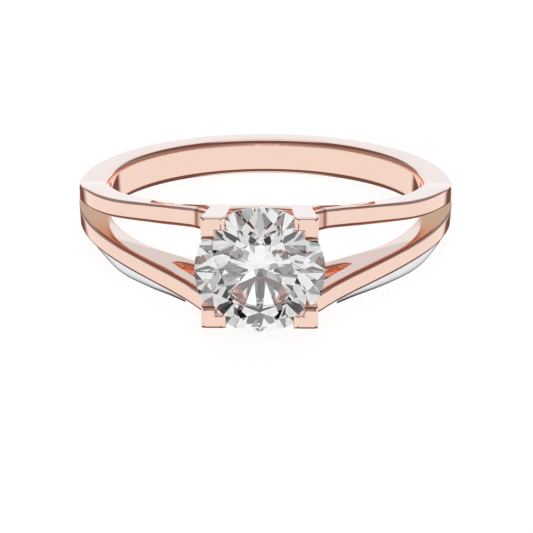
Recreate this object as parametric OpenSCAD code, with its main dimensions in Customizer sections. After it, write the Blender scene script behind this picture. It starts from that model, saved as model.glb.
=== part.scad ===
// Split shank solitaire ring: a cast band that parts into two strands on each side,
// rises in pierced shoulders and carries a round brilliant in four L-shaped corner prongs.
// Inside the modules the ring stands in its own axes: finger hole along Z, head at -Y.
// The finished ring is then laid on its side, on the stone's girdle and the back of the band.

/* [Finger hole and band] */
// Inside diameter of the finger hole
finger_d = 17.35; // [16.5:0.05:18.2]
// Thickness of the band at its back and sides
band_thick = 1.65; // [1.45:0.05:1.9]
// Width of the band at its back
band_w = 2.08; // [1.9:0.02:2.4]
// Rounding of the band's outer edges
band_round = 0.25; // [0.15:0.01:0.35]
// Rounding of the edges that meet the finger
comfort_round = 0.22; // [0.12:0.01:0.3]

/* [Split shoulders] */
// Angle from the head at which the band starts to part
split_angle = 88; // [84:1:92]
// Width of one strand
strand_w = 1.05; // [0.9:0.01:1.2]
// Thickness of a strand where it is thinnest
strand_thick = 1.34; // [1.2:0.02:1.5]
// Rounding of a strand's outer edges
strand_round = 0.2; // [0.12:0.01:0.3]
// Height of a shoulder above the finger where it meets the head
shoulder_h = 3.4; // [3:0.05:3.6]
// How far a strand leans sideways for each millimetre of its height
strand_lean = 0.22; // [0.1:0.01:0.3]
// Distance that a strand stays inside the side face of its prong
shoulder_inset = 0.2; // [0.16:0.01:0.26]
// Metal left over the piercing of a shoulder
arch_thick = 0.8; // [0.65:0.01:0.95]
// Metal left between the piercing and the finger
rail_thick = 0.58; // [0.45:0.01:0.7]
// Angle from the head at which the piercing ends
pierce_angle = 29.3; // [27:0.1:32]

/* [Setting] */
// Height of the girdle's middle above the finger
girdle_h = 3.97; // [3.8:0.01:4.3]
// Height of the prong tops above the girdle's middle
prong_rise = 0.6; // [0.55:0.01:0.8]
// Width across the four prongs at their tops
prong_span = 5.84; // [5.7:0.01:6]
// Length of each leg of an L-shaped prong
prong_leg = 1.22; // [1.05:0.01:1.35]
// Thickness of each leg of a prong
prong_wall = 0.72; // [0.6:0.01:0.78]
// How far the prongs draw in between their tops and the finger rails
prong_draw = 0.4; // [0.2:0.02:0.5]
// Bevel round the top of a prong
prong_bevel = 0.15; // [0.08:0.01:0.2]
// Height above the finger at which the prongs stop drawing in and their feet begin
foot_h = 1.05; // [0.95:0.01:1.2]
// Height above the finger of the outer side of the bars between the prongs' feet
bar_h = 1.2; // [1.1:0.01:1.3]
// Thickness of such a bar
bar_thick = 0.45; // [0.38:0.01:0.5]
// How far the middle of such a bar bows outward
bar_bow = 0.05; // [0.02:0.01:0.12]

/* [Stone] */
// Diameter of the round brilliant
stone_d = 6.5; // [6.4:0.01:6.6]
// Thickness of the girdle at the main facets
girdle_t = 0.17; // [0.14:0.01:0.22]
// Width of the table as a share of the diameter
table_share = 0.57; // [0.53:0.01:0.61]
// Angle of the crown's main facets
crown_angle = 34.5; // [33:0.1:35.5]
// Angle of the pavilion's main facets
pavilion_angle = 40.8; // [40.2:0.1:41.4]
// Length of the star facets as a share of the way to the girdle
star_share = 0.5; // [0.45:0.01:0.6]
// Length of the lower half facets as a share of the way to the culet
lower_share = 0.77; // [0.72:0.01:0.82]
// Turn of the stone about its own axis
stone_turn = 0; // [0:22.5:45]
// Gap between the stone and the metal that holds it
stone_gap = 0.03; // [0.02:0.01:0.05]

/* [White edges] */
// How far the left white edge stands below its strand
white_left = 0.55; // [0.4:0.01:0.7]
// How far the right white edge stands below its strand
white_right = 0.6; // [0.4:0.01:0.7]
// Depth of a white edge toward the finger
white_deep = 0.55; // [0.4:0.01:0.7]
// Distance of a white edge from the strand's outer face
white_back = 0.14; // [0.1:0.01:0.2]
// Gap between a white edge and its strand
white_gap = 0.02; // [0.02:0.005:0.04]

/* [Hidden] */
rose = [0.86, 0.6, 0.5];
white_metal = [0.82, 0.83, 0.85];
clear = [0.88, 0.93, 0.97];

finger_r = finger_d / 2;
band_r = finger_r + band_thick;
stone_r = stone_d / 2;
girdle_y = finger_r + girdle_h;
prong_half = prong_span / 2;
prong_y = girdle_y + prong_rise;
foot_y = finger_r + foot_h;
foot_half = prong_half - prong_draw;
rail_r = finger_r + rail_thick;
// Solids reach this far inside the finger hole before the hole is cut
bore_stock = 0.15;
// Strands stay this far inside the band where they run into it
join_in = 0.02;
// Angle from the head at which the band ends, a little behind the split
band_end = split_angle + 2;
// Angle from the head at which a strand drops to its rail, inside its prong
end_angle = asin((prong_half - 0.65 * prong_wall) / (finger_r + shoulder_h));
// Height of a strand's middle in the band and at the head
band_z = band_w / 4 - join_in;
head_z = prong_half - shoulder_inset - strand_w / 2;
// Steps along a strand, and the steps at which the white edges end
steps = 24;
white_steps_left = 17;
white_steps_right = 20;

// A strand from the head to the split. "at" runs from 0 at the head to 1 at the split,
// "spread" is the share of the way from the band's middle to the prong,
// "band" the share of the band's own thickness and width,
// "rise" the share of the shoulder's rise, and "lean" the share of the sideways lean.
//   at    spread  band  rise  lean
strand_rows = [
    [0.000, 1.000, 0.00, 1.000, 1.00],
    [0.035, 1.000, 0.00, 0.860, 1.00],
    [0.075, 0.955, 0.00, 0.630, 0.98],
    [0.120, 0.885, 0.00, 0.445, 0.95],
    [0.171, 0.815, 0.00, 0.295, 0.95],
    [0.222, 0.750, 0.00, 0.186, 1.00],
    [0.323, 0.637, 0.00, 0.052, 0.85],
    [0.424, 0.523, 0.00, 0.000, 0.45],
    [0.545, 0.393, 0.00, 0.000, 0.10],
    [0.677, 0.293, 0.19, 0.000, 0.00],
    [0.778, 0.232, 0.42, 0.000, 0.00],
    [0.899, 0.130, 0.84, 0.000, 0.00],
    [1.000, 0.000, 1.00, 0.000, 0.00]
];
AT = 0;
SPREAD = 1;
BAND = 2;
RISE = 3;
LEAN = 4;

// The web that closes the fork behind the split. "turn" is the angle ahead of the split,
// "height" the share of the band's thickness, "half" the share of the band's half width.
//   turn  height half
web_rows = [
    [-6.0, 0.90, 0.30],
    [-2.6, 0.95, 0.30],
    [-0.5, 0.99, 0.30],
    [0.6, 0.95, 0.28],
    [2.5, 0.78, 0.28],
    [5.0, 0.50, 0.30],
    [7.5, 0.25, 0.34],
    [9.6, 0.10, 0.40],
    [10.4, -0.03, 0.40]
];

// A prong from its top to its foot. "drop" is the share of the way down to the foot,
// "draw" the share of the draw, "trim" the share of the bevel taken off outside
// and at the ends of the legs, and "short" the share of a wall by which the legs shorten.
//   drop  draw  trim  short
prong_rows = [
    [0.000, 0.00, 1.0, 0.00],
    [0.040, 0.04, 0.0, 0.00],
    [0.300, 0.30, 0.0, 0.08],
    [0.600, 0.60, 0.0, 0.17],
    [1.000, 1.00, 0.0, 0.28]
];
DRAW = 1;
TRIM = 2;
SHORT = 3;

// A white edge from its end near the head, 0, to its other end, 1.
// "drop" is the share of its full drop.
//   along  drop
white_rows = [
    [0.00, 0.34],
    [0.10, 0.50],
    [0.18, 0.62],
    [0.30, 0.80],
    [0.42, 0.90],
    [0.52, 0.98],
    [0.61, 1.00],
    [0.70, 0.90],
    [0.78, 0.70],
    [0.86, 0.46],
    [0.93, 0.28],
    [1.00, 0.12]
];
DROP = 1;

// Row of a table that holds x
function row_at(rows, x, i = 0) =
    (i >= len(rows) - 2 || x < rows[i + 1][AT]) ? i : row_at(rows, x, i + 1);

// Slope of a column at a row, from its neighbours
function slope_at(rows, i, col) =
    let (a = max(i - 1, 0), b = min(i + 1, len(rows) - 1))
    (rows[b][col] - rows[a][col]) / (rows[b][AT] - rows[a][AT]);

// Smooth value of a column between the rows
function eased(rows, x, col) =
    let (
        i = row_at(rows, x),
        gap = rows[i + 1][AT] - rows[i][AT],
        k = (x - rows[i][AT]) / gap,
        a = rows[i][col],
        b = rows[i + 1][col],
        da = slope_at(rows, i, col) * gap,
        db = slope_at(rows, i + 1, col) * gap
    )
    a * (2 * pow(k, 3) - 3 * pow(k, 2) + 1) + da * (pow(k, 3) - 2 * pow(k, 2) + k)
    + b * (3 * pow(k, 2) - 2 * pow(k, 3)) + db * (pow(k, 3) - pow(k, 2));

// Sizes of a strand at a place
function strand_angle(at) = end_angle + at * (split_angle - end_angle);
function strand_place(angle) = (angle - end_angle) / (split_angle - end_angle);
function strand_top(at) =
    finger_r + strand_thick
    + (band_thick - join_in - strand_thick) * eased(strand_rows, at, BAND)
    + (shoulder_h - strand_thick) * eased(strand_rows, at, RISE);
function strand_width(at) = strand_w + (band_w / 2 - strand_w) * eased(strand_rows, at, BAND);
function strand_z(at) = band_z + (head_z - band_z) * eased(strand_rows, at, SPREAD);
function strand_slope(at) = strand_lean * eased(strand_rows, at, LEAN);
function strand_edge(at) = strand_round + (band_round - strand_round) * eased(strand_rows, at, BAND);
// Height of the strand's middle at radius r
function strand_mid(at, r) = strand_z(at) - strand_slope(at) * (strand_top(at) - r);

// Points of an arc about c, from angle a to angle b
function arc(c, r, a, b, n) = [for (i = [0:n]) c + r * [cos(a + (b - a) * i / n), sin(a + (b - a) * i / n)]];

// A place in the ring from its angle from the head, radius and height
function ring_point(angle, r, z) = [-r * sin(angle), -r * cos(angle), z];

// Outline of a strand, as [offset from its middle, radius], with its outer edges rounded
// and its finger edges eased
function strand_outline(half, top, r) =
    let (g = comfort_round, low = finger_r - bore_stock)
    concat(
        arc([half - r, top - r], r, 0, 90, 4),
        arc([r - half, top - r], r, 90, 180, 4),
        arc([g - half, finger_r + g - 0.05], g, 180, 240, 3),
        [[g - half, low], [half - g, low]],
        arc([half - g, finger_r + g - 0.05], g, 300, 360, 3)
    );

// One section of a strand in space, at an angle of its own
function strand_section(at, angle) =
    [for (p = strand_outline(strand_width(at) / 2, strand_top(at), strand_edge(at)))
        ring_point(angle, p[1], strand_mid(at, p[1]) + p[0])];

// One section of the rail that carries a strand on under the head
function rail_section(angle) =
    [for (p = strand_outline(strand_w / 2, rail_r, strand_round))
        ring_point(angle, p[1], strand_mid(0, p[1]) + p[0])];

// Closed skin over a list of sections that have equal numbers of points
module loft(sections) {
    n = len(sections[0]);
    m = len(sections);
    walls = [for (i = [0:m - 2], j = [0:n - 1], k = [0:1])
        let (a = i * n + j, b = i * n + (j + 1) % n)
        k == 0 ? [a, a + n, b + n] : [a, b + n, b]];
    first = [[for (j = [0:n - 1]) j]];
    last = [[for (j = [0:n - 1]) (m - 1) * n + n - 1 - j]];
    polyhedron(points = [for (s = sections) each s], faces = concat(walls, first, last));
}

// Copies a piece to all four corners of the head
module four_ways() {
    for (x = [0, 1], z = [0, 1]) mirror([x, 0, 0]) mirror([0, 0, z]) children();
}

// Copies a piece to both faces of the ring
module both_faces() {
    for (z = [0, 1]) mirror([0, 0, z]) children();
}

// Copies a piece to both sides of the ring
module both_sides() {
    for (x = [0, 1]) mirror([x, 0, 0]) children();
}

// Band behind the split, turned about the finger hole
module band() {
    half = band_w / 2;
    r = band_round;
    g = comfort_round;
    low = finger_r - 2 * bore_stock;
    outline = concat(
        arc([band_r - r, half - r], r, 90, 0, 5),
        arc([band_r - r, r - half], r, 0, -90, 5),
        arc([finger_r + g - 0.05, g - half], g, 270, 210, 3),
        [[low, g - half], [low, half - g]],
        arc([finger_r + g - 0.05, half - g], g, 150, 90, 3)
    );
    rotate([0, 0, band_end - 90])
        rotate_extrude(angle = 360 - 2 * band_end, $fn = 120) polygon(outline);
}

// The two strands of one face with the rail that joins them under the head
module strand_pair() {
    left = concat(
        [strand_section(1, split_angle + 6), strand_section(1, split_angle + 1)],
        [for (i = [steps:-1:0]) strand_section(i / steps, strand_angle(i / steps))],
        [for (k = [0.9:-0.225:0.2]) rail_section(k * end_angle)]
    );
    right = [for (i = [len(left) - 1:-1:0]) [for (p = left[i]) [-p[0], p[1], p[2]]]];
    loft(concat(left, [rail_section(0)], right));
}

// Web between the two strands just ahead of the split
module web() {
    low = finger_r - bore_stock;
    loft([for (w = web_rows)
        let (top = finger_r + band_thick * w[1], half = band_w / 2 * w[2])
        [for (p = [[half, top], [-half, top], [-half, low - 0.02], [half, low - 0.02]])
            ring_point(split_angle - w[0], p[1], p[0])]]);
}

// Piercing between the arch of a shoulder and the rail along the finger
module piercing() {
    tip = strand_top(strand_place(pierce_angle)) - arch_thick;
    first = end_angle + 1.6;
    arch = [for (i = [0:8])
        let (a = first + (pierce_angle - 1 - first) * i / 8)
        [a, strand_top(strand_place(a)) - arch_thick]];
    rail = [
        [pierce_angle - 0.2, tip - 0.05],
        [pierce_angle - 0.2, tip - 0.12],
        [pierce_angle - 1.2, tip - 0.19],
        [pierce_angle - 3, rail_r + 0.05],
        [pierce_angle - 5, rail_r],
        [pierce_angle - 8, rail_r],
        [pierce_angle - 11, rail_r],
        [first + 1.4, rail_r]
    ];
    linear_extrude(height = 8, center = true)
        polygon([for (p = concat(arch, rail)) [-p[1] * sin(p[0]), -p[1] * cos(p[0])]]);
}

// L-shaped outline of a prong from its outer corner [x, z], the ends of its legs and its walls
function prong_outline(x, z, leg, wall, trim) =
    let (
        t = prong_bevel * trim,
        n = 0.06 * trim,
        c = 0.12,
        ox = x - t,
        oz = z - t,
        ex = x - leg + 1.6 * t,
        ez = z - leg + 1.6 * t,
        ix = x - wall + n,
        iz = z - wall + n
    )
    [[ox, oz - c], [ox - 0.3 * c, oz - 0.3 * c], [ox - c, oz], [ex, oz], [ex, iz], [ix, iz], [ix, ez], [ox, ez]];

// Foot of one leg of a prong: from the leg's end, [x, z] at its outer corner and [w, d] in size,
// it slants in to a smaller end in the rail
module leg_foot(top, top_size, low, low_size) {
    hull() {
        translate([top[0] - top_size[0], -foot_y - 0.05, top[1] - top_size[1]])
            cube([top_size[0], 0.1, top_size[1]]);
        translate([low[0] - low_size[0], -(rail_r - 0.1), low[1] - low_size[1]])
            cube([low_size[0], 0.1, low_size[1]]);
    }
}

// Corner prong, on the right and up, with a foot under each leg
module prong() {
    layers = [for (i = [len(prong_rows) - 1:-1:0])
        let (
            w = prong_rows[i],
            y = prong_y + (foot_y - prong_y) * w[AT],
            h = prong_half - prong_draw * w[DRAW],
            leg = prong_leg - prong_wall * w[SHORT]
        )
        [for (p = prong_outline(h, h, leg, prong_wall, w[TRIM])) [p[0], -y, p[1]]]];
    loft(layers);
    h = foot_half - 0.01;
    leg = prong_leg - 0.3 * prong_wall;
    wall = prong_wall - 0.02;
    z = strand_mid(0, rail_r) + strand_w / 2 - 0.12;
    leg_foot([h, h], [leg, wall], [h - 0.1, z], [0.75, 0.5]);
    leg_foot([h, h], [wall, leg], [h - 0.1, z], [0.5, 0.75]);
}

// Bar between the feet of two prongs, on the upper face
module foot_bar() {
    deep = 0.6;
    c = 0.1;
    half = bar_thick / 2;
    middle = foot_half - 0.15 - half;
    loft([for (i = [4:-1:-4])
        let (x = (foot_half - 0.5) * i / 4, z = middle + bar_bow * (1 - pow(i / 3, 2)), y = -(finger_r + bar_h))
        [for (p = [
            [c, half], [deep - c, half], [deep, half - c], [deep, c - half],
            [deep - c, -half], [c, -half], [0, c - half], [0, half - c]
        ]) [x, y + p[0], z + p[1]]]]);
}

// Room for the stone with its gap, turned about the stone's axis
module stone_seat() {
    edge = girdle_t / 2 + 0.015;
    up = edge + stone_gap / cos(41);
    outline = [
        [0, up + stone_r * tan(41)],
        [stone_r + stone_gap, up - stone_gap * tan(41)],
        [stone_r + stone_gap, stone_gap * tan(42) - up],
        [0, -up - stone_r * tan(42)]
    ];
    translate([0, -girdle_y, 0]) rotate([90, 0, 0]) rotate_extrude($fn = 96) polygon(outline);
}

// Ring metal: band, strands, prongs and bars in one casting
module ring_metal() {
    difference() {
        union() {
            band();
            difference() {
                both_faces() strand_pair();
                both_sides() piercing();
            }
            both_sides() web();
            four_ways() prong();
            both_faces() foot_bar();
        }
        cylinder(h = 12, r = finger_r, center = true, $fn = 120);
        stone_seat();
    }
}

// Round brilliant in its own axes: table up along Z, middle of the girdle at 0
module brilliant() {
    n = 64;
    r = stone_r;
    edge = girdle_t / 2;
    table_r = r * table_share;
    table_z = edge + (r - table_r) * tan(crown_angle);
    star_r = table_r * cos(22.5) + star_share * (r - table_r * cos(22.5));
    star_z = edge + (r - star_r * cos(22.5)) * tan(crown_angle);
    half_r = r * (1 - lower_share);
    half_z = edge + (r - half_r * cos(22.5)) * tan(pavilion_angle);
    culet_z = edge + r * tan(pavilion_angle);
    // How far the half facets cut into the girdle at the share k of their width
    bulge = [for (k = [0:3]) r * (cos(22.5 * k / 4 - 11.25) - cos(11.25))];
    up_slope = (star_z - edge) / ((r - star_r) * cos(11.25));
    low_slope = (half_z - edge) / ((r - half_r) * cos(11.25));
    function spin(r, a, z) = [r * cos(a), r * sin(a), z];
    points = concat(
        [for (k = [0:7]) spin(table_r, 45 * k, table_z)],
        [for (k = [0:7]) spin(star_r, 45 * k + 22.5, star_z)],
        [for (i = [0:n - 1]) spin(r, 360 * i / n, edge - up_slope * bulge[i % 4])],
        [for (i = [0:n - 1]) spin(r, 360 * i / n, low_slope * bulge[i % 4] - edge)],
        [for (k = [0:7]) spin(half_r, 45 * k + 22.5, -half_z)],
        [[0, 0, -culet_z]]
    );
    up = 16;
    low = up + n;
    half = low + n;
    culet = half + 8;
    faces = concat(
        [[for (k = [7:-1:0]) k]],
        [for (k = [0:7]) [k, (k + 1) % 8, 8 + k]],
        [for (k = [0:7]) [k, 8 + k, up + 8 * k, 8 + (k + 7) % 8]],
        [for (k = [0:7], s = [0:1]) concat([8 + k], [for (i = [4:-1:0]) up + (8 * k + 4 * s + i) % n])],
        [for (i = [0:n - 1]) [up + i, up + (i + 1) % n, low + (i + 1) % n, low + i]],
        [for (k = [0:7], s = [0:1]) concat([half + k], [for (i = [0:4]) low + (8 * k + 4 * s + i) % n])],
        [for (k = [0:7]) [half + k, culet, half + (k + 7) % 8, low + 8 * k]]
    );
    polyhedron(points = points, faces = faces);
}

module stone() {
    translate([0, -girdle_y, 0]) rotate([90, 0, 0]) rotate([0, 0, stone_turn]) brilliant();
}

// White edge under the left strand of the lower face, over a number of the strand's steps
module white_edge(full, last) {
    first = 3;
    loft([for (i = [last:-1:first])
        let (
            at = i / steps,
            half = strand_width(at) / 2 + white_gap,
            drop = full * eased(white_rows, (i - first) / (last - first), DROP),
            top = strand_top(at) - white_back,
            low = top - white_deep
        )
        [for (p = [
            [0, top], [drop * 0.75, top], [drop, top - 0.22 * white_deep],
            [drop, low + 0.36 * white_deep], [drop * 0.6, low], [0, low]
        ]) ring_point(strand_angle(at), p[1], -(strand_mid(at, p[1]) + half + p[0]))]]);
}

// The ring comes to rest on the stone's girdle and the rounded edge at the band's back
rest_a = girdle_y - girdle_t / 2 + band_r - band_round;
rest_b = stone_r - (band_w / 2 - band_round);
rest_tilt = atan(rest_b / rest_a) - asin(band_round / norm([rest_a, rest_b]));
rest_z = (band_r - band_round) * sin(rest_tilt) + (band_w / 2 - band_round) * cos(rest_tilt) + band_round;
table_y = girdle_y + girdle_t / 2 + stone_r * (1 - table_share) * tan(crown_angle);
rest_front = table_y * cos(rest_tilt) + stone_r * table_share * sin(rest_tilt);
rest_back = (band_r - band_round) * cos(rest_tilt) + (band_w / 2 - band_round) * sin(rest_tilt) + band_round;

// Lays the ring on the floor, centred over the origin
module at_rest() {
    translate([0, (rest_front - rest_back) / 2, rest_z]) rotate([-rest_tilt, 0, 0]) children();
}

color(rose) at_rest() ring_metal();
color(clear) at_rest() stone();
color(white_metal) at_rest() white_edge(white_left, white_steps_left);  // white_edge_left
union() {  // white_edge_right
    color(white_metal) at_rest() mirror([1, 0, 0]) white_edge(white_right, white_steps_right);
}
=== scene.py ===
import math

import bmesh
import bpy
from mathutils import Matrix, Vector


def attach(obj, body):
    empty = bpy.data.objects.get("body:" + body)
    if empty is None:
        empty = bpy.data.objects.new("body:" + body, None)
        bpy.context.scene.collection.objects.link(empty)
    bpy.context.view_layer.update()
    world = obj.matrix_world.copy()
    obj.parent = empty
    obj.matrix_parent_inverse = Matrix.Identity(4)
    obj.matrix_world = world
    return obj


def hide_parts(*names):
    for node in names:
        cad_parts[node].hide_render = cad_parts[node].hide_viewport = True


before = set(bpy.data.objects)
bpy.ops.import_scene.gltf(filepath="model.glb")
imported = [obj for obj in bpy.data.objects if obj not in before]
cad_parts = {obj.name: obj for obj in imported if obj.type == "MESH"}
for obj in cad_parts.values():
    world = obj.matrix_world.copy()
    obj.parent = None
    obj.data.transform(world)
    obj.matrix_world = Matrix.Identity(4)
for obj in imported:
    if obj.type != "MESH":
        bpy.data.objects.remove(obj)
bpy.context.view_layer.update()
print("split shank ring: frame loaded")

mm = 0.001  # the ring is worked out in millimetres, in its own axes: hole along Z, head at -Y

# Sizes of the whole ring
ring = {
    "fingerR": 8.675,
    "bandThick": 1.65,
    "bandW": 2.08,
    "bandRound": 0.25,
    "comfort": 0.22,
    "girdleH": 3.97,
    "girdleT": 0.17,
    "stoneR": 3.25,
    "tableShare": 0.57,
    "crownAngle": 34.5,
    "dome": 0.36,  # share of the half width over which the finger side curves away
    "sharp": 32,  # faces that meet at more degrees keep a sharp edge
}
ring["bandR"] = ring["fingerR"] + ring["bandThick"]
ring["girdleY"] = ring["fingerR"] + ring["girdleH"]

# Prongs, with their draw toward the feet
prong = {
    "rise": 0.6,  # tops above the middle of the girdle
    "half": 2.92,  # outer faces from the middle of the head
    "leg": 1.22,
    "wall": 0.72,
    "draw": 0.4,
    "legDraw": 0.28,  # share of the wall that the legs lose on the way down
    "bevel": 0.15,
    "endBevel": 0.24,
    "innerBevel": 0.07,
    "corner": 0.1,
    "innerCorner": 0.05,
    "slimCorner": 0.6,  # share of the corner's round at the ends of the legs
    "steps": 12,
    # depth below the top, share of the bevel
    "bevelRows": [(0.0, 1.0), (0.045, 0.8), (0.056, 0.5), (0.12, 0.1), (0.16, 0.0)],
    # share of the wall that is left outside a strand's end
    "strandEnd": 0.65,
}
prong["footHalf"] = prong["half"] - prong["draw"]

# Strands from the head, at 0, to the split, at 1
strand = {
    "splitAngle": 88.0,
    "width": 1.05,
    "thick": 1.34,
    "round": 0.2,
    "shoulderH": 3.4,
    "lean": 0.22,
    "inset": 0.2,  # of the strands' sides from the prongs' outer faces
    "arch": 0.8,
    "rail": 0.58,
    "openBy": 0.86,  # where the inner edges and the outer ones have their full round
    "roundBy": 0.7,
    # the piercing under the shoulder: its tip, and how the rail rises towards it
    "pierceAngle": 29.3,
    "blunt": 0.19,
    "tipBack": 0.1,
    "tipTurn": 0.45,
    "railFrom": 1.1,
    "railTurn": 3.8,
    # rounding of the edges over it and on the rail, and the most that it takes of the opening
    "archRound": (0.06, 0.12),
    "railRound": (0.14, 0.2),
    # at, spread, band, rise, lean
    "rows": [
        (0.000, 1.000, 0.00, 1.000, 1.00),
        (0.035, 1.000, 0.00, 0.860, 1.00),
        (0.075, 0.955, 0.00, 0.630, 0.98),
        (0.120, 0.885, 0.00, 0.445, 0.95),
        (0.171, 0.815, 0.00, 0.295, 0.95),
        (0.222, 0.750, 0.00, 0.186, 1.00),
        (0.323, 0.637, 0.00, 0.052, 0.85),
        (0.424, 0.523, 0.00, 0.000, 0.45),
        (0.545, 0.393, 0.00, 0.000, 0.10),
        (0.677, 0.293, 0.19, 0.000, 0.00),
        (0.778, 0.232, 0.42, 0.000, 0.00),
        (0.899, 0.130, 0.84, 0.000, 0.00),
        (1.000, 0.000, 1.00, 0.000, 0.00),
    ],
}
endX = prong["half"] - prong["strandEnd"] * prong["wall"]
strand["endAngle"] = math.degrees(math.asin(endX / (ring["fingerR"] + strand["shoulderH"])))
strand["tipAngle"] = strand["pierceAngle"] - strand["tipBack"]
strand["railR"] = ring["fingerR"] + strand["rail"]
strand["bandZ"] = ring["bandW"] / 4
strand["headZ"] = prong["half"] - strand["inset"] - strand["width"] / 2

# How the ring lies: on the stone's girdle and the rounded edge at the band's back
restA = ring["girdleY"] - ring["girdleT"] / 2 + ring["bandR"] - ring["bandRound"]
restB = ring["stoneR"] - (ring["bandW"] / 2 - ring["bandRound"])
restTilt = math.atan2(restB, restA) - math.asin(ring["bandRound"] / math.hypot(restA, restB))
backR = ring["bandR"] - ring["bandRound"]
backZ = ring["bandW"] / 2 - ring["bandRound"]
crownH = ring["stoneR"] * (1 - ring["tableShare"]) * math.tan(math.radians(ring["crownAngle"]))
tableY = ring["girdleY"] + ring["girdleT"] / 2 + crownH
restFront = tableY * math.cos(restTilt) + ring["stoneR"] * ring["tableShare"] * math.sin(restTilt)
restBack = backR * math.cos(restTilt) + backZ * math.sin(restTilt) + ring["bandRound"]
restZ = backR * math.sin(restTilt) + backZ * math.cos(restTilt) + ring["bandRound"]
layDown = (
    Matrix.Translation((0, (restFront - restBack) / 2 * mm, restZ * mm))
    @ Matrix.Rotation(-restTilt, 4, "X")
    @ Matrix.Scale(mm, 4)
)


def rowAt(rows, x):
    for i in range(len(rows) - 2):
        if x < rows[i + 1][0]:
            return i
    return len(rows) - 2


def slopeAt(rows, i, col):
    # the curves run out level at the last row
    if i == len(rows) - 1:
        return 0.0
    a, b = max(i - 1, 0), i + 1
    return (rows[b][col] - rows[a][col]) / (rows[b][0] - rows[a][0])


def eased(rows, x, col):
    # smooth value of a column between its rows
    i = rowAt(rows, x)
    gap = rows[i + 1][0] - rows[i][0]
    k = (x - rows[i][0]) / gap
    a, b = rows[i][col], rows[i + 1][col]
    da, db = slopeAt(rows, i, col) * gap, slopeAt(rows, i + 1, col) * gap
    return (
        a * (2 * k**3 - 3 * k**2 + 1)
        + da * (k**3 - 2 * k**2 + k)
        + b * (3 * k**2 - 2 * k**3)
        + db * (k**3 - k**2)
    )


def strandAngle(at):
    return strand["endAngle"] + at * (strand["splitAngle"] - strand["endAngle"])


def strandPlace(angle):
    return (angle - strand["endAngle"]) / (strand["splitAngle"] - strand["endAngle"])


def strandTop(at):
    return (
        ring["fingerR"]
        + strand["thick"]
        + (ring["bandThick"] - strand["thick"]) * eased(strand["rows"], at, 2)
        + (strand["shoulderH"] - strand["thick"]) * eased(strand["rows"], at, 3)
    )


def strandHalf(at):
    width = strand["width"] + (ring["bandW"] / 2 - strand["width"]) * eased(strand["rows"], at, 2)
    return width / 2


def strandMid(at, r):
    z = strand["bandZ"] + (strand["headZ"] - strand["bandZ"]) * eased(strand["rows"], at, 1)
    return z - strand["lean"] * eased(strand["rows"], at, 4) * (strandTop(at) - r)


def smoothStep(a, b, x):
    k = min(max((x - a) / (b - a), 0.0), 1.0)
    return k * k * (3 - 2 * k)


def arcPoints(cx, cy, r, a, b, n, wide=None):
    # wide stretches the arc sideways
    wide = r if wide is None else wide
    out = []
    for i in range(n + 1):
        t = math.radians(a + (b - a) * i / n)
        out.append((cx + wide * math.cos(t), cy + r * math.sin(t)))
    return out


def ringPoint(angle, r, z):
    t = math.radians(angle)
    return (-r * math.sin(t), -r * math.cos(t), z)


def piercingEdges(angle):
    # under the arch and on the rail; both the same where the shoulder isn't pierced
    at = strandPlace(angle)
    tip = strandTop(strandPlace(strand["pierceAngle"])) - strand["arch"]
    low = tip - strand["blunt"] - strand["railR"]
    ahead = strand["tipAngle"] - angle
    if ahead <= 0:
        inner = ring["fingerR"]
        share = (tip - strand["blunt"] / 2 - inner) / (tip + strand["arch"] - inner)
        middle = inner + share * (strandTop(at) - inner)
        return middle, middle
    under = strandTop(at) - strand["arch"]
    left = max(1 - (ahead - strand["railFrom"]) / strand["railTurn"], 0)
    rail = strand["railR"] + low * left**2
    middle, half = (under + rail) / 2, (under - rail) / 2
    # the opening ends in a small round
    half *= math.sqrt(1 - (1 - min(ahead / strand["tipTurn"], 1)) ** 2)
    return middle + half, middle - half


def strandSection(angle, at=None):
    # points of one section: arcs over the top, the two piercing edges, and the finger side
    at = strandPlace(angle) if at is None else at
    half, top, low = strandHalf(at), strandTop(at), ring["fingerR"]
    opened = smoothStep(1.0, strand["openBy"], at)  # the inner edges round off as the fork opens
    rounded = smoothStep(1.0, strand["roundBy"], at)
    far = ring["bandRound"] + (strand["round"] - ring["bandRound"]) * rounded
    near, ease = strand["round"] * opened, ring["comfort"] * opened
    # the finger side is a little domed across its width
    nearDome = ring["dome"] * half * opened
    farDome = ring["dome"] * half * (2 - opened)
    under, rail = piercingEdges(max(angle, strand["endAngle"]))
    opening = under - rail
    rounds = (strand["archRound"], strand["railRound"])
    a, b = (min(most, share * opening) for most, share in rounds)
    outline = (
        arcPoints(half - far, top - far, far, 0, 90, 9)
        + arcPoints(near - half, top - near, near, 90, 180, 9)
        + arcPoints(a - half, under + a, a, 180, 270, 3)
        + arcPoints(b - half, rail - b, b, 90, 180, 3)
        + arcPoints(nearDome - half, low + ease, ease, 180, 270, 7, nearDome)
        + arcPoints(half - farDome, low + ring["comfort"], ring["comfort"], 270, 360, 7, farDome)
        + arcPoints(half - b, rail - b, b, 0, 90, 3)
        + arcPoints(half - a, under + a, a, 270, 360, 3)
    )
    return [ringPoint(angle, r, strandMid(at, r) + o) for o, r in outline]


# A section has 52 points; these go round the arch over the piercing, and round the rail under it
wholeRun = list(range(52))
archRun = wholeRun[:24] + wholeRun[48:]
railRun = wholeRun[44:48] + wholeRun[24:44]


def mirrored(section, x, z):
    return [(p[0] * x, p[1], p[2] * z) for p in section]


def bridge(bm, a, b, run):
    for j, i in enumerate(run):
        k = run[(j + 1) % len(run)]
        bm.faces.new((a[i], b[i], b[k], a[k]))


def addLoft(bm, sections, closed=False, caps=True):
    rows = [[bm.verts.new(p) for p in s] for s in sections]
    pairs = list(zip(rows, rows[1:]))
    if closed:
        pairs.append((rows[-1], rows[0]))
    for a, b in pairs:
        bridge(bm, a, b, range(len(a)))
    if caps and not closed:
        bm.faces.new(rows[0])
        bm.faces.new(list(reversed(rows[-1])))


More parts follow.
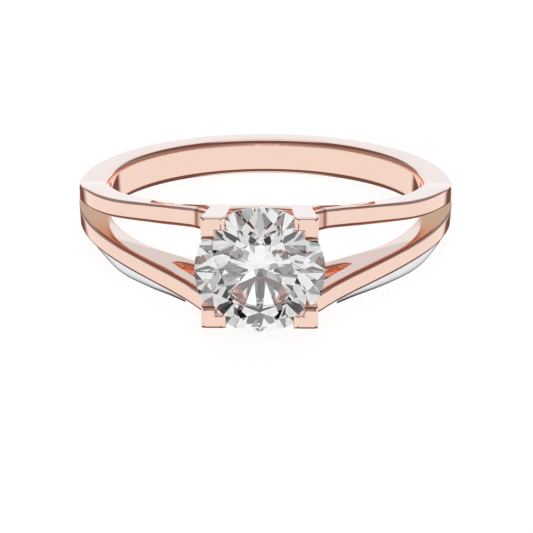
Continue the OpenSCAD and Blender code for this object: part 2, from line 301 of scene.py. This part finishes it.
def newObject(bm, name):
    mesh = bpy.data.meshes.new(name)
    bm.to_mesh(mesh)
    bm.free()
    obj = bpy.data.objects.new(name, mesh)
    bpy.context.collection.objects.link(obj)
    return obj


def finishMesh(bm, name, weld=0.0006):
    # welds points that meet, and takes out the faces that have no area then
    bmesh.ops.remove_doubles(bm, verts=bm.verts, dist=weld)
    flat = [f for f in bm.faces if f.calc_area() < 1e-10]
    bmesh.ops.delete(bm, geom=flat, context="FACES_ONLY")
    bmesh.ops.recalc_face_normals(bm, faces=bm.faces)
    return newObject(bm, name)


def useModifiers(obj):
    # bakes the modifiers into the mesh
    graph = bpy.context.evaluated_depsgraph_get()
    mesh = bpy.data.meshes.new_from_object(obj.evaluated_get(graph))
    obj.modifiers.clear()
    obj.data = mesh


def cutWith(obj, cutter, flatAngle=0.6):
    cut = obj.modifiers.new("cut", "BOOLEAN")
    cut.operation = "DIFFERENCE"
    cut.solver = "MANIFOLD"
    cut.object = cutter
    useModifiers(obj)
    bpy.data.objects.remove(cutter)
    # the cut leaves slivers in flat faces, so those are joined again
    bm = bmesh.new()
    bm.from_mesh(obj.data)
    bmesh.ops.dissolve_limit(
        bm, angle_limit=math.radians(flatAngle), verts=bm.verts, edges=bm.edges
    )
    bm.to_mesh(obj.data)
    bm.free()


def smoothBy(obj, angle):
    # smooth shading with sharp edges where faces meet at more than the angle; flats stay flat
    for f in obj.data.polygons:
        f.use_smooth = True
    obj.data.set_sharp_from_angle(angle=math.radians(angle))
    weigh = obj.modifiers.new("normals", "WEIGHTED_NORMAL")
    weigh.mode = "FACE_AREA"
    weigh.keep_sharp = True
    useModifiers(obj)


# Angles from the head between which the fork's walls come near together and get a painted glow
# and painted shade, and how far off a wall or below the top a point still counts
fork = {"opens": 60, "deep": 77, "past": 1, "off": 0.04, "under": 0.02}
# Places along the strand between which the painted shade in the nook beside an upper prong
# darkens and clears again
paintedNookShade = {"from": 0.074, "deep": 0.06, "to": 0.045, "back": 0.7, "clear": 0.01}


def markGap(obj):
    # how deep in the fork, or in the nooks beside the upper prongs, each point lies, from 0 to 1;
    # the masks of the painted glow and painted shade there
    obj.data.attributes.new("forkPaintedLight", "FLOAT", "POINT")
    obj.data.attributes.new("inPaintedNookShade", "FLOAT", "POINT")
    depths, paintedNookShades = (obj.data.attributes[name] for name in ("forkPaintedLight", "inPaintedNookShade"))
    for i, v in enumerate(obj.data.vertices):
        x, y, z = abs(v.co.x), v.co.y, abs(v.co.z)
        angle = math.degrees(math.atan2(x, -y))
        at = strandPlace(angle)
        # painted shade in the nooks beside the upper prongs
        if x > prong["half"] + paintedNookShade["clear"] and v.co.z > 0 and 0 < at < paintedNookShade["from"]:
            dark = smoothStep(paintedNookShade["from"], paintedNookShade["deep"], at)
            paintedNookShades.data[i].value = dark - paintedNookShade["back"] * smoothStep(paintedNookShade["deep"], paintedNookShade["to"], at)
        # the fork: painted glow and painted shade deep between the walls
        if not fork["opens"] < angle < strand["splitAngle"] + fork["past"]:
            continue
        at, r = min(at, 1), math.hypot(x, y)
        wall = strandMid(at, r) - strandHalf(at)
        if z < wall + fork["off"] and r < strandTop(at) - fork["under"]:
            depths.data[i].value = smoothStep(fork["opens"], fork["deep"], angle)


def joined(parts, name):
    bm = bmesh.new()
    for p in parts:
        bm.from_mesh(p.data)
        bpy.data.objects.remove(p)
    return newObject(bm, name)


# Sections round the ring: from the split to the piercing's tip, along the piercing, on the rail
# and in the band, with those just past the tip set closely, in degrees
hoop = {
    "steps": 120,
    "piercedSteps": 40,
    "railSteps": 8,
    "bandSteps": 120,
    "nearTip": (0.015, 0.05, 0.1, 0.16, 0.24, 0.34, 0.45, 0.7),
}


def makeHoop():
    # the two strands of each face run round the head and join in the band behind the split
    split, end, tip = strand["splitAngle"], strand["endAngle"], strand["tipAngle"]
    full = [split + (tip - split) * i / hoop["steps"] for i in range(hoop["steps"] + 1)]
    pierced = [tip - k for k in hoop["nearTip"]]
    n = hoop["piercedSteps"]
    pierced += [tip - 1 + (end - tip + 1) * i / n for i in range(n + 1)]
    rails = [end * k / hoop["railSteps"] for k in reversed(range(hoop["railSteps"]))]
    bm = bmesh.new()
    for x in (1, -1):
        for z in (1, -1):
            rows = []
            for t in full + pierced + rails:
                section = strandSection(t, None if t >= end else 0)
                rows.append([bm.verts.new(p) for p in mirrored(section, x, z)])
            last = len(full) + len(pierced) - 1
            for i in range(len(rows) - 1):
                if i < len(full) - 1:
                    bridge(bm, rows[i], rows[i + 1], wholeRun)
                    continue
                bridge(bm, rows[i], rows[i + 1], railRun)
                if i < last:
                    bridge(bm, rows[i], rows[i + 1], archRun)
            bm.faces.new([rows[last][k] for k in archRun])
    # the band's outline is that of both halves without the walls where they meet
    upper = [(math.hypot(p[0], p[1]), p[2]) for p in strandSection(split)]
    side = upper[36:44] + [upper[48]] + upper[:10]
    under = [(r, -z) for r, z in reversed(side)]
    outline = side + [(ring["bandR"], 0.0)] + under + [(ring["fingerR"], 0.0)]
    n = hoop["bandSteps"]
    turns = [split + (360 - 2 * split) * i / n for i in range(n + 1)]
    addLoft(bm, [[ringPoint(t, r, z) for r, z in outline] for t in turns], caps=False)
    return finishMesh(bm, "hoop")


# The web that closes the fork
web = {
    # degrees ahead of the split, height and half width as shares of the band's
    "rows": [
        (-3.0, 0.90, 0.30),
        (-0.5, 0.995, 0.30),
        (0.6, 0.95, 0.28),
        (2.5, 0.78, 0.28),
        (5.0, 0.50, 0.30),
        (7.5, 0.25, 0.34),
        (9.6, 0.10, 0.40),
        (10.4, 0.002, 0.40),
    ],
    "steps": 40,
    "least": 0.002,  # height at its end
    "over": 0.001,  # above the finger side, so that the two don't fight
    # across the top: share of the half width, how far it is hollowed
    "hollow": [(1, 0.0), (0.5, 0.03), (0, 0.04), (-0.5, 0.03), (-1, 0.0)],
}


def makeWeb():
    bm = bmesh.new()
    rows = web["rows"]
    low = ring["fingerR"] + web["over"]
    for side in (1, -1):
        sections = []
        for i in range(web["steps"] + 1):
            turn = rows[0][0] + (rows[-1][0] - rows[0][0]) * i / web["steps"]
            top = ring["fingerR"] + ring["bandThick"] * max(eased(rows, turn, 1), web["least"])
            half = ring["bandW"] / 2 * eased(rows, turn, 2)
            outline = [(top - sunk, half * share) for share, sunk in web["hollow"]]
            outline += [(low, -half), (low, half)]
            angle = strand["splitAngle"] - turn
            sections.append([ringPoint(angle, max(r, low), z) for r, z in outline])
        addLoft(bm, [mirrored(s, side, 1) for s in sections])
    return finishMesh(bm, "web", weld=0.0)


def roundedOutline(points, radii, n=4, most=0.45):
    # rounds the corners of a closed outline, by at most that share of a side
    out = []
    for i, p in enumerate(points):
        a, b = points[i - 1], points[(i + 1) % len(points)]
        pa = Vector((a[0] - p[0], a[1] - p[1]))
        pb = Vector((b[0] - p[0], b[1] - p[1]))
        r = min(radii[i], pa.length * most, pb.length * most)
        start = Vector(p) + pa.normalized() * r
        end = Vector(p) + pb.normalized() * r
        for k in range(n + 1):
            t = k / n
            q = start * (1 - t) ** 2 + Vector(p) * 2 * t * (1 - t) + end * t**2
            out.append((q.x, q.y))
    return out


def prongOutline(x, z, leg, wall, trim):
    # an L with its ends and corners softened; trim is the share of the bevels
    out, end, inner = (prong[name] * trim for name in ("bevel", "endBevel", "innerBevel"))
    ox, oz = x - out, z - out
    ex, ez = x - leg + end, z - leg + end
    ix, iz = x - wall + inner, z - wall + inner
    points = [(ox, oz), (ex, oz), (ex, iz), (ix, iz), (ix, ez), (ox, ez)]
    slim = prong["slimCorner"] * prong["corner"]
    return roundedOutline(points, [prong["corner"], slim, slim, prong["innerCorner"], slim, slim])


# Feet: how they stand on the rail, and their leg and wall with what each loses on the way down
foot = {
    "height": 1.05,
    "steps": (0.35, 0.7, 1.0),
    "inside": 0.12,
    "sunk": 0.1,
    "draw": 0.1,
    "leg": 1.03,
    "legLoss": 0.28,
    "wall": 0.66,
    "wallLoss": 0.16,
}


def makeProngs():
    top = ring["girdleY"] + prong["rise"]
    footR = ring["fingerR"] + foot["height"]
    deep = top - footR
    straight = [(deep * k / prong["steps"], 0.0) for k in range(1, prong["steps"] + 1)]
    sections = []
    for drop, trim in prong["bevelRows"] + straight:
        share = drop / deep
        half = prong["half"] - prong["draw"] * share
        leg = prong["leg"] - prong["wall"] * prong["legDraw"] * share
        outline = prongOutline(half, half, leg, prong["wall"], trim)
        sections.append([(x, -(top - drop), z) for x, z in outline])
    # each foot slants in onto its rail
    railSide = strandMid(0, strand["railR"]) + strand["width"] / 2 - foot["inside"]
    last = strand["railR"] - foot["sunk"]
    for k in foot["steps"]:
        x = prong["footHalf"] - foot["draw"] * k
        z = prong["footHalf"] + (railSide - prong["footHalf"]) * k
        leg, wall = foot["leg"] - foot["legLoss"] * k, foot["wall"] - foot["wallLoss"] * k
        outline = prongOutline(x, z, leg, wall, 0.0)
        sections.append([(px, -(footR + (last - footR) * k), pz) for px, pz in outline])
    bm = bmesh.new()
    for x in (1, -1):
        for z in (1, -1):
            addLoft(bm, [mirrored(s, x, z) for s in sections])
    return finishMesh(bm, "prongs", weld=0.0)


# Room for the stone: its gap, what its girdle may stray, and the slopes over and under it
seat = {"gap": 0.03, "stray": 0.015, "upper": 41, "lower": 42, "axis": 0.02, "turns": 180}


def makeSeat():
    # turned about the stone's axis
    gap, r = seat["gap"], ring["stoneR"]
    upper, lower = math.radians(seat["upper"]), math.radians(seat["lower"])
    up = ring["girdleT"] / 2 + seat["stray"] + gap / math.cos(upper)
    outline = [
        (seat["axis"], up + r * math.tan(upper)),
        (r + gap, up - gap * math.tan(upper)),
        (r + gap, gap * math.tan(lower) - up),
        (seat["axis"], -up - r * math.tan(lower)),
    ]
    bm = bmesh.new()
    sections = []
    for i in range(seat["turns"]):
        t = 2 * math.pi * i / seat["turns"]
        x, z = math.cos(t), math.sin(t)
        sections.append([(q * x, -ring["girdleY"] - h, q * z) for q, h in outline])
    addLoft(bm, sections, closed=True)
    return finishMesh(bm, "seat", weld=0.0)


# Bars between the feet of neighbouring prongs, bowed a little outward
bar = {
    "height": 1.2,
    "thick": 0.45,
    "deep": 0.6,
    "bow": 0.05,
    "round": 0.14,
    "inside": 0.15,
    "short": 0.5,
    "steps": 20,
    "bowSteps": 15,
}


def makeBars():
    bm = bmesh.new()
    half, deep = bar["thick"] / 2, bar["deep"]
    middle = prong["footHalf"] - bar["inside"] - half
    points = [(0, half), (deep, half), (deep, -half), (0, -half)]
    outline = roundedOutline(points, [bar["round"]] * 4, 6)
    sections = []
    low = -(ring["fingerR"] + bar["height"])
    for i in range(-bar["steps"], bar["steps"] + 1):
        x = (prong["footHalf"] - bar["short"]) * i / bar["steps"]
        z = middle + bar["bow"] * (1 - (i / bar["bowSteps"]) ** 2)
        sections.append([(x, low + a, z + b) for a, b in outline])
    for side in (1, -1):
        addLoft(bm, [mirrored(s, 1, side) for s in sections])
    return finishMesh(bm, "bars", weld=0.0)


def makeRingMetal():
    prongs = makeProngs()
    cutWith(prongs, makeSeat())
    return joined([makeHoop(), makeWeb(), prongs, makeBars()], "ring_body")


ringBody = makeRingMetal()
print("split shank ring: metal made,", len(ringBody.data.polygons), "faces")

# White edges along the lower strands: full drop and the share of the strand at which each ends
whiteEdge = {
    "left": {"drop": 0.55, "last": 17 / 24},
    "right": {"drop": 0.6, "last": 20 / 24},
    "first": 3 / 24,
    "deep": 0.55,
    "back": 0.14,  # below the strand's top
    "gap": 0.02,
    "shed": 0.03,  # slopes of the upper and the lower side
    "rise": 0.1,
    "radii": [0.01, 0.1, 0.1, 0.01],
    "sharp": 40,
    "steps": 60,
    # along, drop
    "rows": [
        (0.00, 0.34),
        (0.10, 0.50),
        (0.18, 0.62),
        (0.30, 0.80),
        (0.42, 0.90),
        (0.52, 0.98),
        (0.61, 1.00),
        (0.70, 0.90),
        (0.78, 0.70),
        (0.86, 0.46),
        (0.93, 0.28),
        (1.00, 0.12),
    ],
}


def makeWhiteEdge(name, side):
    own = whiteEdge[name]
    bm = bmesh.new()
    sections = []
    for i in range(whiteEdge["steps"] + 1):
        along = i / whiteEdge["steps"]
        at = whiteEdge["first"] + (own["last"] - whiteEdge["first"]) * along
        drop = own["drop"] * eased(whiteEdge["rows"], along, 1)
        top = strandTop(at) - whiteEdge["back"]
        low = top - whiteEdge["deep"]
        face = strandHalf(at) + whiteEdge["gap"]
        points = [
            (0, top),
            (drop, top - whiteEdge["shed"]),
            (drop, low + whiteEdge["rise"]),
            (0, low),
        ]
        outline = roundedOutline(points, whiteEdge["radii"], 5)
        angle = strandAngle(at)
        sections.append([ringPoint(angle, r, -(strandMid(at, r) + face + o)) for o, r in outline])
    addLoft(bm, [mirrored(s, side, 1) for s in sections])
    return finishMesh(bm, name + "_white_edge", weld=0.0)


leftEdge = makeWhiteEdge("left", 1)
rightEdge = makeWhiteEdge("right", -1)
markGap(ringBody)
for piece in (ringBody, leftEdge, rightEdge):
    piece.data.transform(layDown)
smoothBy(ringBody, ring["sharp"])
smoothBy(leftEdge, whiteEdge["sharp"])
smoothBy(rightEdge, whiteEdge["sharp"])
print("split shank ring: white edges made")


class Wire:
    # a node socket that can be used in sums
    def __init__(self, kit, socket):
        self.kit = kit
        self.socket = socket

    def __add__(self, other):
        return self.kit.math("ADD", self, other)

    __radd__ = __add__

    def __sub__(self, other):
        return self.kit.math("SUBTRACT", self, other)

    def __rsub__(self, other):
        return self.kit.math("SUBTRACT", other, self)

    def __mul__(self, other):
        return self.kit.math("MULTIPLY", self, other)

    __rmul__ = __mul__

    def __truediv__(self, other):
        return self.kit.math("DIVIDE", self, other)

    def __rtruediv__(self, other):
        return self.kit.math("DIVIDE", other, self)


class Shader:
    # the node tree of a material or the world, with one way of adding nodes
    def __init__(self, owner):
        owner.use_nodes = True
        self.tree = owner.node_tree
        self.tree.nodes.clear()

    def add(self, kind, settings=None, values=None):
        node = self.tree.nodes.new(kind)
        for key, value in (settings or {}).items():
            setattr(node, key, value)
        for key, value in (values or {}).items():
            if isinstance(value, Wire):
                self.tree.links.new(value.socket, node.inputs[key])
            else:
                node.inputs[key].default_value = value
        return node

    def out(self, kind, settings=None, values=None, socket=0):
        return Wire(self, self.add(kind, settings, values).outputs[socket])

    def math(self, operation, a, b=0.0):
        return self.out("ShaderNodeMath", {"operation": operation}, {0: a, 1: b})

    def band(self, value, low, high):
        # 0 below low, 1 above high, smooth between
        return self.out(
            "ShaderNodeMapRange",
            {"interpolation_type": "SMOOTHSTEP"},
            {"Value": value, "From Min": low, "From Max": high},
        )

    def mixColour(self, factor, a, b):
        return self.out("ShaderNodeMix", {"data_type": "RGBA"}, {0: factor, 6: a, 7: b}, 2)

    def noise(self, scale, detail):
        place = self.out("ShaderNodeTexCoord", socket=3)
        values = {"Vector": place, "Scale": scale, "Detail": detail}
        return self.out("ShaderNodeTexNoise", None, values)


# Finishes: two shades of the metal, its polish, a painted glow over it all, and the painted glow
# and painted shade deep in the fork and the painted shade in the nooks
roseGold = {
    "light": (0.82, 0.69, 0.6, 1),
    "deep": (0.8, 0.66, 0.57, 1),
    # painted shade deep in the fork
    "under": (0.3, 0.22, 0.18, 1),
    # painted shade in the nooks beside the upper prongs
    "paintedNookShade": (0.16, 0.06, 0.035, 1),
    "rough": 0.035,
    "grain": 0.02,
    # painted glow over all the metal, which turns its dark reflections brown
    "paintedGlow": (0.15, 0.035, 0.018, 1),
    # painted glow deep in the fork
    "forkPaintedLight": (0.4, 0.3, 0.22, 1),
}
whiteGold = {
    "light": (0.90, 0.91, 0.92, 1),
    "deep": (0.82, 0.83, 0.85, 1),
    "under": (0.82, 0.83, 0.85, 1),
    "paintedNookShade": (0.82, 0.83, 0.85, 1),
    "rough": 0.12,
    "grain": 0.03,
    # a faint painted glow
    "paintedGlow": (0.01, 0.01, 0.01, 1),
    "forkPaintedLight": (0.01, 0.01, 0.01, 1),
}

# Grain of the polish, and how much rougher the metal is deep in the fork
polish = {"cloud": 900.0, "cloudDetail": 2.0, "fine": 9000.0, "fineDetail": 1.0, "gapRough": 0.4}


def polishedMetal(name, look):
    mat = bpy.data.materials.new(name)
    kit = Shader(mat)
    cloud = kit.noise(polish["cloud"], polish["cloudDetail"])
    fine = kit.noise(polish["fine"], polish["fineDetail"])
    colour = kit.mixColour(cloud, look["light"], look["deep"])
    # deep in the fork the metal is rougher, with a painted glow and painted shade standing in for
    # the light and shade between the walls
    forkPaintedLight = kit.out("ShaderNodeAttribute", {"attribute_name": "forkPaintedLight"}, socket=2)
    rough = look["rough"] + (fine - 0.5) * look["grain"] + polish["gapRough"] * forkPaintedLight
    # painted light: a glow on all the metal, stronger deep in the fork
    paintedGlow = kit.mixColour(forkPaintedLight, look["paintedGlow"], look["forkPaintedLight"])
    # painted shade: the metal deep in the fork is darkened
    colour = kit.mixColour(forkPaintedLight, colour, look["under"])
    inPaintedNookShade = kit.out("ShaderNodeAttribute", {"attribute_name": "inPaintedNookShade"}, socket=2)
    # painted shade: the nooks beside the upper prongs are darkened
    colour = kit.mixColour(inPaintedNookShade, colour, look["paintedNookShade"])
    shader = kit.out(
        "ShaderNodeBsdfPrincipled",
        None,
        {
            "Base Color": colour,
            "Roughness": rough,
            "Metallic": 1.0,
            "Emission Color": paintedGlow,
            "Emission Strength": 1.0,
        },
    )
    kit.add("ShaderNodeOutputMaterial", None, {"Surface": shader})
    return mat


def dress(obj, mat):
    obj.data.materials.clear()
    obj.data.materials.append(mat)


# The stone's clear and faintly bluish shades, and how strongly it bends light
gem = {
    "clear": (1.0, 1.0, 1.0, 1),
    "bluish": (0.985, 0.99, 1.0, 1),
    "cloud": 600.0,
    "bends": 2.42,
}


def clearStone():
    mat = bpy.data.materials.new("clear stone")
    kit = Shader(mat)
    colour = kit.mixColour(kit.noise(gem["cloud"], 1.0), gem["clear"], gem["bluish"])
    shader = kit.out(
        "ShaderNodeBsdfPrincipled",
        None,
        {"Base Color": colour, "Roughness": 0.0, "IOR": gem["bends"], "Transmission Weight": 1.0},
    )
    kit.add("ShaderNodeOutputMaterial", None, {"Surface": shader})
    return mat


dress(ringBody, polishedMetal("rose gold", roseGold))
whiteMat = polishedMetal("white gold", whiteGold)
dress(leftEdge, whiteMat)
dress(rightEdge, whiteMat)
stoneMat = clearStone()
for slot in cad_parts["stone"].material_slots:
    slot.material = stoneMat
print("split shank ring: finishes set")

for piece, node, slotName in (
    (ringBody, "ring_metal", "rose_gold"),
    (leftEdge, "white_edge_left", "white_gold"),
    (rightEdge, "white_edge_right", "white_gold"),
):
    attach(piece, "root")
    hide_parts(node)

# Camera: distance in mm, angle down to the ring's own plane, turn, and how far off its axis the
# middle of the finger hole stands
view = {
    "away": 110.0,
    "down": 18.47,
    "turn": -1.243,
    "aside": -0.0553,
    "below": 3.8206,
    "lens": 133.54,
    "nearest": 0.001,
    "farthest": 10,
}


def makeCamera():
    p, s = math.radians(view["down"]), math.radians(view["turn"])
    ahead = Vector((math.sin(s) * math.cos(p), math.cos(s) * math.cos(p), -math.sin(p)))
    right = Vector((math.cos(s), -math.sin(s), 0))
    up = right.cross(ahead)
    pos = -(right * view["aside"] + up * view["below"] + ahead * view["away"])
    turned = Matrix((right, up, -ahead)).transposed().to_4x4()
    cam = bpy.data.cameras.new("camera")
    cam.lens = view["lens"]
    cam.clip_start = view["nearest"]
    cam.clip_end = view["farthest"]
    obj = bpy.data.objects.new("camera", cam)
    bpy.context.collection.objects.link(obj)
    lay = Matrix.Rotation(-restTilt, 4, "X")
    obj.matrix_world = Matrix.Translation(layDown @ pos) @ lay @ turned
    bpy.context.scene.camera = obj


makeCamera()

# Studio: a pale floor, and a belt of light all round with a taller soft box behind, and lights
# straight above and below. Pairs are the edges between which a light fades; heights and sides are
# parts of the direction, from 0 to 1
studio = {
    "floor": (0.62, 0.62, 0.62, 1),
    "floorFar": (0.63, 0.63, 0.63, 1),
    "floorHalf": 0.6,
    "floorCloud": 20.0,
    "floorRough": 0.9,
    "floorGlow": 0.85,
    # strengths of the lights
    "dim": 0.045,
    "front": 0.2,
    "back": 1.0,
    "backTint": (0.88, 1.04, 1.14, 1),
    "below": 0.93,
    "tall": 0.8,
    "caps": 0.95,
    # where they stand
    "edge": (0.4, 0.52),
    "capEdge": (0.9, 0.96),
    "rearEdge": (0.0, 0.1),
    "rearSides": (0.45, 0.65),
    "tallSides": (0.35, 0.55),
    "tallFoot": (0.0, 0.05),
    "horizon": (-0.03, 0.1),
    "rearLower": 0.17,
    "gapInner": (0.28, 0.38),
    "gapOuter": (0.56, 0.68),
    "gapTop": (0.05, 0.14),
}
# What the stone sees instead of the dim room, with the dark patch in front that gives it its
# arrows, and the lighter and darker fields that break up the rest
inStone = {
    "dim": 0.98,
    "front": 1.08,
    "patch": (0.82, 0.9),
    "patchFoot": (0.0, 0.1),
    "patchDark": 0.9,
    "fields": 3.2,
    "darkFields": (0.3, 0.4),
    "lightFields": (0.55, 0.65),
    "darker": 0.6,
    "lighter": 0.14,
}


def makeFloor():
    bm = bmesh.new()
    h = studio["floorHalf"]
    corners = ((-h, -h), (h, -h), (h, h), (-h, h))
    bm.faces.new([bm.verts.new((x, y, 0)) for x, y in corners])
    floor = finishMesh(bm, "floor", weld=0.0)
    mat = bpy.data.materials.new("pale floor")
    kit = Shader(mat)
    cloud = kit.noise(studio["floorCloud"], 2.0)
    colour = kit.mixColour(cloud, studio["floor"], studio["floorFar"])
    shader = kit.out(
        "ShaderNodeBsdfPrincipled",
        None,
        {
            "Base Color": colour,
            "Roughness": studio["floorRough"],
            "Specular IOR Level": 0.0,
            "Emission Color": (1, 1, 1, 1),
            "Emission Strength": studio["floorGlow"],
        },
    )
    # only the eye sees the floor: the metal and the stone are lit by the belt all round
    seen = kit.out("ShaderNodeLightPath")
    clear = kit.out("ShaderNodeBsdfTransparent")
    both = kit.out("ShaderNodeMixShader", None, {0: seen, 1: clear, 2: shader})
    kit.add("ShaderNodeOutputMaterial", None, {"Surface": both})
    dress(floor, mat)


makeFloor()


def makeWorld():
    world = bpy.data.worlds.new("studio")
    bpy.context.scene.world = world
    kit = Shader(world)
    place = kit.out("ShaderNodeTexCoord")
    parts = kit.add("ShaderNodeSeparateXYZ", None, {0: place})
    x, y, z = (Wire(kit, parts.outputs[i]) for i in range(3))
    height = kit.math("ABSOLUTE", z)
    aside = kit.math("ABSOLUTE", x) / kit.math("SQRT", x * x + y * y)
    behind = kit.band(y, *studio["rearEdge"])
    belt = 1 - kit.band(height, *studio["edge"])
    upper = kit.band(z + studio["rearLower"] * behind, *studio["horizon"])
    # the stone gathers light from more of the room than the metal shows
    throughStone = kit.out("ShaderNodeLightPath", socket=6)
    front = studio["front"] + (inStone["front"] - studio["front"]) * throughStone
    dim = studio["dim"] + (inStone["dim"] - studio["dim"]) * throughStone
    rear = studio["back"] * behind * (1 - kit.band(aside, *studio["rearSides"]))
    level = kit.math("MAXIMUM", rear, front)
    level = level * upper + studio["below"] * (1 - upper)
    caps = studio["caps"] * kit.band(height, *studio["capEdge"])
    tall = studio["tall"] * behind * (1 - kit.band(aside, *studio["tallSides"]))
    tall = tall * kit.band(z, *studio["tallFoot"])
    # upright gaps between the soft boxes behind, below the horizon
    gaps = kit.band(aside, *studio["gapInner"]) * (1 - kit.band(aside, *studio["gapOuter"]))
    gaps = gaps * behind * kit.band(0 - z, *studio["gapTop"])
    lit = level * belt * (1 - gaps)
    for more in (caps, tall, dim):
        lit = kit.math("MAXIMUM", lit, more)
    patch = kit.band(0 - y, *inStone["patch"]) * kit.band(z, *inStone["patchFoot"]) * throughStone
    lit = lit * (1 - inStone["patchDark"] * patch)
    values = {"Vector": place, "Scale": inStone["fields"]}
    fields = kit.add("ShaderNodeTexVoronoi", {"feature": "F1"}, values)
    shade = kit.add("ShaderNodeSeparateColor", None, {0: Wire(kit, fields.outputs["Color"])})
    dark = 1 - kit.band(Wire(kit, shade.outputs[0]), *inStone["darkFields"])
    light = kit.band(Wire(kit, shade.outputs[1]), *inStone["lightFields"])
    lit = lit * (1 + throughStone * (inStone["lighter"] * light - inStone["darker"] * dark))
    # the light behind is cooler, and makes the upper walls a pale pink
    tint = kit.mixColour(behind * upper * (1 - throughStone), (1, 1, 1, 1), studio["backTint"])
    background = kit.out("ShaderNodeBackground", None, {"Color": tint, "Strength": lit})
    kit.add("ShaderNodeOutputWorld", None, {"Surface": background})


makeWorld()
bpy.context.scene.view_settings.view_transform = "Standard"
print("split shank ring: studio set")
